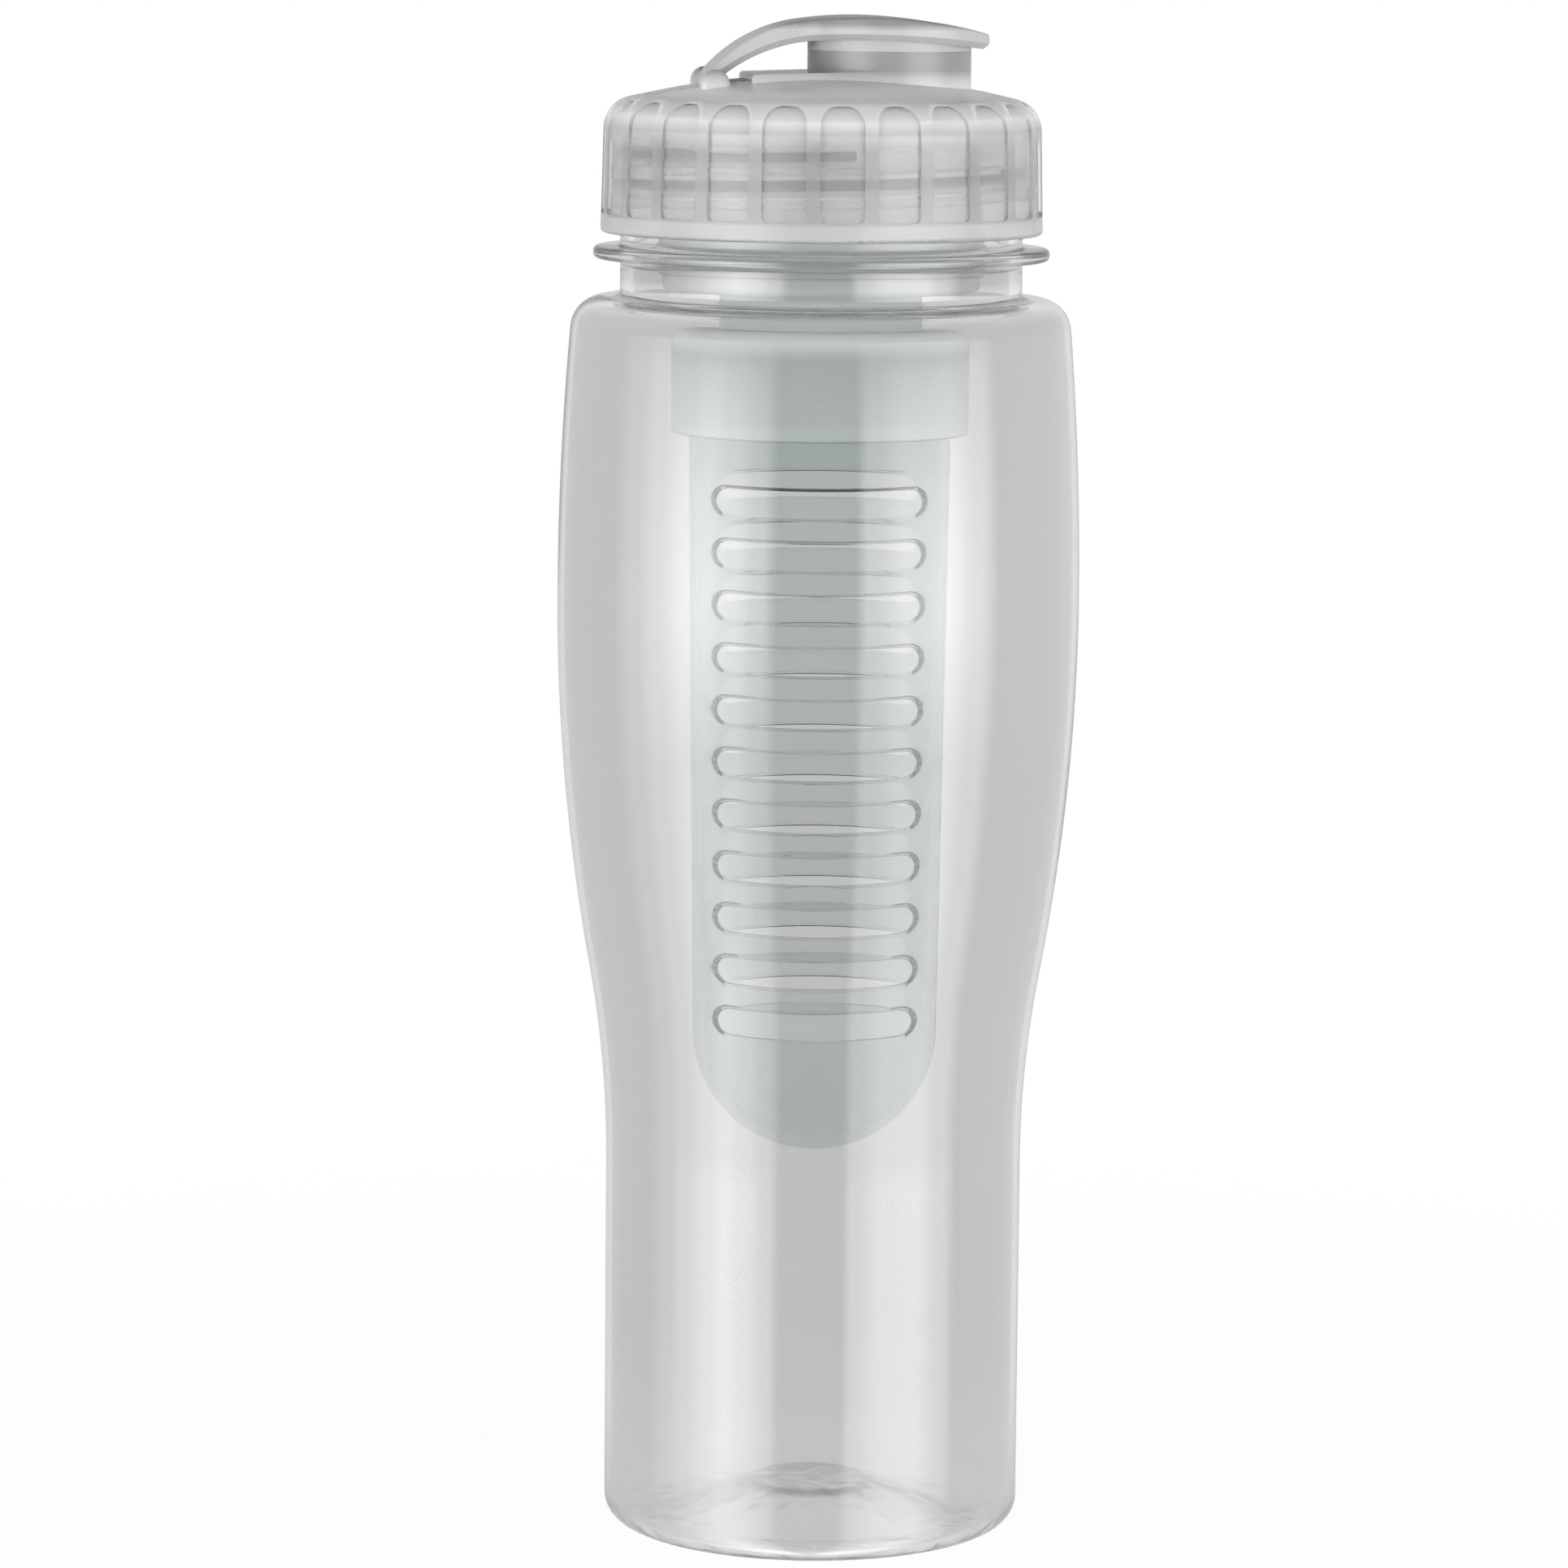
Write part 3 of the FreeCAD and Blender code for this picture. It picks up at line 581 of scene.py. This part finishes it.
# white where it is seen, dim for the rest, with two soft upright strips that only mirrors see
def makeWorld(s, v):
    world = bpy.data.worlds.new("studioWorld")
    bpy.context.scene.world = world
    world.use_nodes = True
    tree = world.node_tree
    back = tree.nodes["Background"]
    back.inputs["Color"].default_value = (1, 1, 1, 1)
    path = addNode(tree, "ShaderNodeLightPath")
    place = addNode(tree, "ShaderNodeTexCoord")
    turned = addNode(
        tree, "ShaderNodeVectorRotate",
        {"rotation_type": "Z_AXIS", "Angle": -math.radians(v["turn"])},
        {"Vector": place.outputs["Generated"]},
    )
    split = addNode(tree, "ShaderNodeSeparateXYZ", {}, {0: turned.outputs[0]})
    front = addNode(
        tree, "ShaderNodeMath", {"operation": "MULTIPLY", 1: -1.0}, {0: split.outputs["Y"]}
    )
    turn = addNode(
        tree, "ShaderNodeMath", {"operation": "ARCTAN2"},
        {0: split.outputs["X"], 1: front.outputs[0]},
    )
    spot = addNode(
        tree, "ShaderNodeMapRange", {"From Min": -math.pi, "From Max": math.pi},
        {"Value": turn.outputs[0]},
    )
    ramp = addNode(tree, "ShaderNodeValToRGB", {}, {0: spot.outputs["Result"]})
    ramp.color_ramp.interpolation = "EASE"
    most = max(strength for degrees, strength in s["glints"])
    stops = ramp.color_ramp.elements
    while len(stops) < len(s["glints"]):
        stops.new(0.5)
    for stop, (degrees, strength) in zip(stops, s["glints"]):
        stop.position = (degrees + 180) / 360
        stop.color = (strength / most, strength / most, strength / most, 1)
    high, low = s["glintTop"]
    fall = addNode(
        tree, "ShaderNodeMapRange",
        {"interpolation_type": "SMOOTHSTEP", "From Min": high, "From Max": low},
        {"Value": split.outputs["Z"]},
    )
    foot, knee, share = s["glintFoot"]
    rise = addNode(
        tree, "ShaderNodeMapRange", {"From Min": foot, "From Max": knee, "To Min": share},
        {"Value": split.outputs["Z"]},
    )
    both = addNode(
        tree, "ShaderNodeMath", {"operation": "MULTIPLY"},
        {0: fall.outputs["Result"], 1: rise.outputs["Result"]},
    )
    plain = s["glints"][0][1]
    glint = addNode(
        tree, "ShaderNodeMath", {"operation": "MULTIPLY", 1: most}, {0: ramp.outputs["Color"]}
    )
    mirrored = addNode(
        tree, "ShaderNodeMix", {"data_type": "FLOAT", "A": plain},
        {0: both.outputs[0], "B": glint.outputs[0]},
    )
    around, above = s["ambient"]
    dim = addNode(
        tree, "ShaderNodeMapRange", {"To Min": around, "To Max": above},
        {"Value": split.outputs["Z"]},
    )
    level = addNode(
        tree, "ShaderNodeMix", {"data_type": "FLOAT"},
        {0: path.outputs["Is Glossy Ray"], "A": dim.outputs["Result"], "B": mirrored.outputs[0]},
    )
    # light that reaches a cloudy piece through clear walls is raised to make up for what they take away
    few, many = s["passed"]
    deep = addNode(
        tree, "ShaderNodeMapRange",
        {"From Min": few, "From Max": many, "To Min": s["shell"], "To Max": s["inside"]},
        {"Value": path.outputs["Transmission Depth"]},
    )
    through = addNode(
        tree, "ShaderNodeMix", {"data_type": "FLOAT", "A": 1.0},
        {0: path.outputs["Diffuse Depth"], "B": deep.outputs["Result"]},
    )
    final = addNode(
        tree, "ShaderNodeMix", {"data_type": "FLOAT"},
        {0: seenThrough(tree, path), "A": level.outputs[0], "B": through.outputs[0]},
    )
    tree.links.new(final.outputs[0], back.inputs["Strength"])


def makeLights(s, v):
    for box in s["boxes"]:
        angle = math.radians(v["turn"] + box["turn"])
        place = Vector((math.sin(angle), -math.cos(angle), 0)) * box["distance"]
        place.z = box["z"]
        deselectAll()
        bpy.ops.object.light_add(type="AREA", location=place)
        lamp = bpy.context.object
        lamp.name = box["name"]
        lamp.data.shape = "RECTANGLE"
        lamp.data.size, lamp.data.size_y = box["size"]
        lamp.data.energy = box["power"]
        lamp.visible_glossy = False
        lamp.visible_transmission = False  # glass would mirror the box as a hard square
        lamp.rotation_euler = (math.radians(box["tilt"]), 0, angle)


def makeCamera(v):
    turn, pitch = math.radians(v["turn"]), math.radians(v["pitch"])
    inward = Vector((-math.sin(turn), math.cos(turn), 0))
    sideways = Vector((math.cos(turn), math.sin(turn), 0))
    ahead = inward * math.cos(pitch) - Vector((0, 0, 1)) * math.sin(pitch)
    roll = Matrix.Rotation(math.radians(-v["roll"]), 3, ahead)
    right, up = roll @ sideways, roll @ sideways.cross(ahead)
    deselectAll()
    bpy.ops.object.camera_add()
    camera = bpy.context.object
    camera.name = "photoCamera"
    place = -inward * v["distance"] * mm + sideways * v["aside"] * mm
    place.z = v["height"] * mm
    turned = Matrix((right, up, -ahead)).transposed().to_4x4()
    camera.matrix_world = Matrix.Translation(place) @ turned
    camera.data.lens = v["focalPx"] / v["photoPx"] * v["sensor"]
    camera.data.sensor_width = v["sensor"]
    camera.data.clip_start = v["clipM"]
    bpy.context.scene.camera = camera


makeFloor(studio)
makeWorld(studio, view)
makeLights(studio, view)
makeCamera(view)
bpy.context.scene.view_settings.view_transform = "Standard"
bpy.context.scene.cycles.max_bounces = studio["bounces"]
bpy.context.scene.cycles.transmission_bounces = studio["bounces"]
bpy.context.scene.cycles.glossy_bounces = studio["bounces"]
bpy.context.scene.cycles.diffuse_bounces = studio["diffuseBounces"]
print("studio set")
